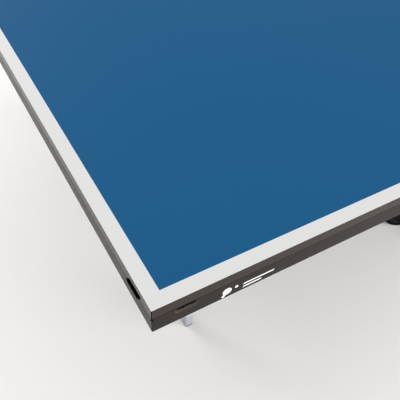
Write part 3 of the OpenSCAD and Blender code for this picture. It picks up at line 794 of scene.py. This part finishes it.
for k in CASTERS:
    caster_wheels(k)
for k in BRAKED_CASTERS:
    pedal_grips(k)


# ---------- net ----------

# In millimetres, as the profiles in net_post_parts are
POST_R = 11
COLLAR_R = 19
CLIP_H = 10
LOW_CLIP_RISE = 12      # above the mesh's lower edge
TOP_CLIP_DROP = 24      # below the posts' tops


def net_post_parts():
    """Both net posts with the collars they rest on, their end caps, and the clips that hold the net. The
    sleeve's and the cap's profiles are (radius, height)."""
    lo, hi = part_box("net_posts")
    post_y = hi.y - COLLAR_R * MM
    foot, top = lo.z / MM, hi.z / MM
    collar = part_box("net_carrier")[1].z / MM + 0.4
    sleeve = [(9, foot + 0.6), (9.6, foot), (10.4, foot), (POST_R, foot + 0.6), (POST_R, collar),
              (18.3, collar), (COLLAR_R, collar + 0.7), (COLLAR_R, collar + 3.8), (18.2, collar + 5.1),
              (16.4, collar + 5.6), (12.2, collar + 5.6), (11.3, collar + 6.2), (POST_R, collar + 7.2),
              (POST_R, top - 8.4), (10.7, top - 8.1), (9.3, top - 8.1), (9, top - 8.4)]
    cap = [(8.9, top - 16), (8.9, top - 8), (12.4, top - 8), (13, top - 7.4), (13, top - 6.2),
           (12.6, top - 5.9), (12.6, top - 5.4), (13, top - 5.1), (13, top - 3.6), (12.5, top - 2.1),
           (11.2, top - 0.9), (8.6, top - 0.2), (5, top)]
    clip = [(-3, 0), (3, 0), (3, 2.6), (2.4, 3.6), (2.4, 6), (-2.4, 6), (-2.4, 3.6), (-3, 2.6)]
    sleeves, caps, clips = bmesh.new(), bmesh.new(), bmesh.new()
    for _, sy in SIDES:
        def turn(x, y, z):
            return (x, sy * post_y + y, z)

        lathe(sleeves, [(r * MM, z * MM) for r, z in sleeve], turn, 64)
        lathe(caps, [(r * MM, z * MM) for r, z in cap], turn, 64, closed=False)
        for z in (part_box("net_mesh")[0].z + LOW_CLIP_RISE * MM, hi.z - TOP_CLIP_DROP * MM):
            prism(clips, clip, lambda u, v, w: (u * MM, sy * (post_y + (v - POST_R - 4) * MM), z + w),
                  CLIP_H * MM)
    add_piece("post_sleeves", sleeves, "net", POST, ["net_posts"], 40)
    add_piece("post_caps", caps, "net", KNOB, sharp=50)
    piece = add_piece("net_clips", clips, "net", BLACK)
    bevel_edges(piece, 0.4 * MM)


MESH_PITCH = 12 * MM
CORD_R = 0.65 * MM
KNOT_R = 1.75 * CORD_R
LOWEST_CORD_R = 1.5 * CORD_R
SAG = 0.5 * MM      # of the lowest cord between two knots
TUCK = 4 * MM       # how far the mesh goes into the tape and the hems
STITCH_L = 3 * MM
STITCH_GAP = 1.6 * MM
STITCH_R = 0.22 * MM


def net_ripple(y, v):
    """How far the net hangs out of its plane at y, with v from 0 at the bottom to 1 at the tape."""
    wave = math.sin(y * 9.1 + 0.6) + 0.6 * math.sin(y * 21.7 + 2.0)
    return 0.9 * MM * wave * math.sin(math.pi * min(1, max(0, v))) ** 0.8


def make_net():
    """Knotted mesh of square holes between the tape and the hems, cord by cord."""
    lo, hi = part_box("net_mesh")
    y1, z0, z1 = hi.y + TUCK, lo.z + CORD_R, hi.z + TUCK
    columns = round(2 * y1 / MESH_PITCH)
    rows = round((z1 - z0) / MESH_PITCH)

    def point(i, j, sag=0):
        y = -y1 + 2 * y1 * i / columns
        v = j / rows
        drop = sag * (1 - v) * SAG
        return Vector((net_ripple(y, v), y, z0 + (z1 - z0) * v - drop))

    bm = bmesh.new()
    for i in range(columns + 1):
        tube(bm, [point(i, j) for j in range(rows + 1)], CORD_R)
    for j in range(rows + 1):
        cord = [point(i / 2, j, sag=i % 2) for i in range(2 * columns + 1)]
        tube(bm, cord, CORD_R if j else LOWEST_CORD_R)
    for i in range(columns + 1):
        for j in range(1, rows):
            knot = bmesh.ops.create_icosphere(bm, subdivisions=1, radius=KNOT_R)
            bmesh.ops.translate(bm, verts=knot["verts"], vec=point(i, j))
    return add_piece("knotted_net", bm, "net", CORD, ["net_mesh"], 80), (2 * y1, z1 - z0)


def band_of_cloth(bm, start, end, across, thick, count, bulge):
    """A flat closed band from start to end, across wide, whose middle bulges out on both sides."""
    steps = 6
    rings = []
    for i in range(count + 1):
        middle = start.lerp(end, i / count)
        ring = []
        for face in (1, -1):
            for j in range(steps + 1):
                u = (j / steps - 0.5) * face
                t = thick * (0.6 + 0.4 * math.cos(math.pi * u)) + bulge(i / count, u)
                ring.append(bm.verts.new(middle + across * u + Vector((face * t / 2, 0, 0))))
        rings.append(ring)
    size = len(rings[0])
    for a, b in zip(rings, rings[1:]):
        for j in range(size):
            n = (j + 1) % size
            bm.faces.new((a[j], a[n], b[n], b[j]))
    bm.faces.new(list(reversed(rings[0])))
    bm.faces.new(rings[-1])


PUCKER_TURN = 260   # radians along the whole length of a band


def make_tape():
    """The folded white tape along the net's top and its side hems."""
    lo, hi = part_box("net_tape")
    mesh_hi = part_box("net_mesh")[1]
    tape_h = hi.z - mesh_hi.z
    hem_w = hi.y - mesh_hi.y

    def pucker(t, u):
        return 0.25 * MM * math.sin(t * PUCKER_TURN) * (0.5 - abs(u))

    bm = bmesh.new()
    z = hi.z - tape_h / 2
    band_of_cloth(bm, Vector((0, lo.y, z)), Vector((0, hi.y, z)), Vector((0, 0, tape_h)), 2.6 * MM,
                  360, pucker)
    for _, sy in SIDES:
        y = sy * (hi.y - hem_w / 2)
        band_of_cloth(bm, Vector((0, y, lo.z)), Vector((0, y, mesh_hi.z + 1 * MM)),
                      Vector((0, hem_w, 0)), 2.2 * MM, 40, pucker)
    return add_piece("tape_and_hems", bm, "net", TAPE, ["net_tape"], 60)


def make_stitches():
    """A row of stitches along the tape's lower edge, on both faces."""
    bm = bmesh.new()
    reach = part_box("net_tape")[1].y - 4 * MM
    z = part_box("net_mesh")[1].z + 2.2 * MM
    for face in (-1, 1):
        x = face * 0.98 * MM
        for i in range(int(2 * reach / (STITCH_L + STITCH_GAP))):
            y = -reach + i * (STITCH_L + STITCH_GAP)
            tube(bm, [Vector((x * 0.8, y, z)), Vector((x, y + STITCH_L / 2, z)),
                      Vector((x * 0.8, y + STITCH_L, z))], STITCH_R)
    return add_piece("tape_stitches", bm, "net", TAPE, sharp=80)


net_post_parts()
net, flat = make_net()
tape = make_tape()
stitches = make_stitches()


# ---------- floor, light and camera ----------

FOCAL_LENGTH = 49.41                       # millimetres, for a sensor 36 wide
CAMERA_TURN = (57.847, 47.131, 3.332)      # heading, angle below the horizon, and roll, in degrees
CAMERA_FROM_CORNER = Vector((-0.12565, -0.28443, 0.51036))
FLOOR_HALF = 30
WORLD_STRENGTH = 0.84
# Name, place, target, size and power
LIGHTS = (
    ("key", (-2.2, 2.8, 1.9), (-1.4, 1.0, 0), (2, 1.2), 46),
    ("fill", (1.6, -3.0, 1.3), (0.2, -0.6, 0), (2.4, 1.0), 52),
    ("low", (0.6, -3.0, 0.6), (-0.4, -0.4, 0.1), (1.6, 0.6), 36))


def camera_basis(heading, below, roll):
    """Right, up and back of a camera that looks along heading, below the horizon, turned by roll."""
    a, e, r = (math.radians(x) for x in (heading, below, roll))
    forward = Vector((math.cos(a) * math.cos(e), math.sin(a) * math.cos(e), -math.sin(e)))
    right = forward.cross(Vector((0, 0, 1))).normalized()
    up = right.cross(forward)
    return (math.cos(r) * right + math.sin(r) * up, math.cos(r) * up - math.sin(r) * right, -forward)


def make_camera():
    data = bpy.data.cameras.new("camera")
    data.sensor_width = 36
    data.lens = FOCAL_LENGTH
    data.clip_start, data.clip_end = 0.02, 100
    camera = put_in_scene("camera", data)
    right, up, back = camera_basis(*CAMERA_TURN)
    corner = Vector((-HALF_OUT, -SIDE_Y, TOP_Z))
    turn = Matrix((right, up, back)).transposed().to_4x4()
    camera.matrix_world = Matrix.Translation(corner + CAMERA_FROM_CORNER) @ turn
    SCENE.camera = camera


def make_floor():
    bm = bmesh.new()
    bmesh.ops.create_grid(bm, x_segments=4, y_segments=4, size=FLOOR_HALF)
    floor = put_in_scene("floor", as_mesh("floor", bm))
    floor.data.materials.append(studio_floor())


def area_light(name, place, target, size, power):
    data = bpy.data.lights.new(name, "AREA")
    data.shape = "RECTANGLE"
    data.size, data.size_y = size
    data.energy = power
    light = put_in_scene(name, data)
    light.visible_camera = False
    light.location = place
    light.rotation_euler = (Vector(target) - Vector(place)).to_track_quat("-Z", "Y").to_euler()


def make_light():
    world = bpy.data.worlds.new("studio")
    world.use_nodes = True
    background = world.node_tree.nodes["Background"]
    background.inputs["Color"].default_value = (1, 1, 1, 1)
    background.inputs["Strength"].default_value = WORLD_STRENGTH
    SCENE.world = world
    for light in LIGHTS:
        area_light(*light)
    SCENE.view_settings.view_transform = "Standard"


make_camera()
make_floor()
make_light()
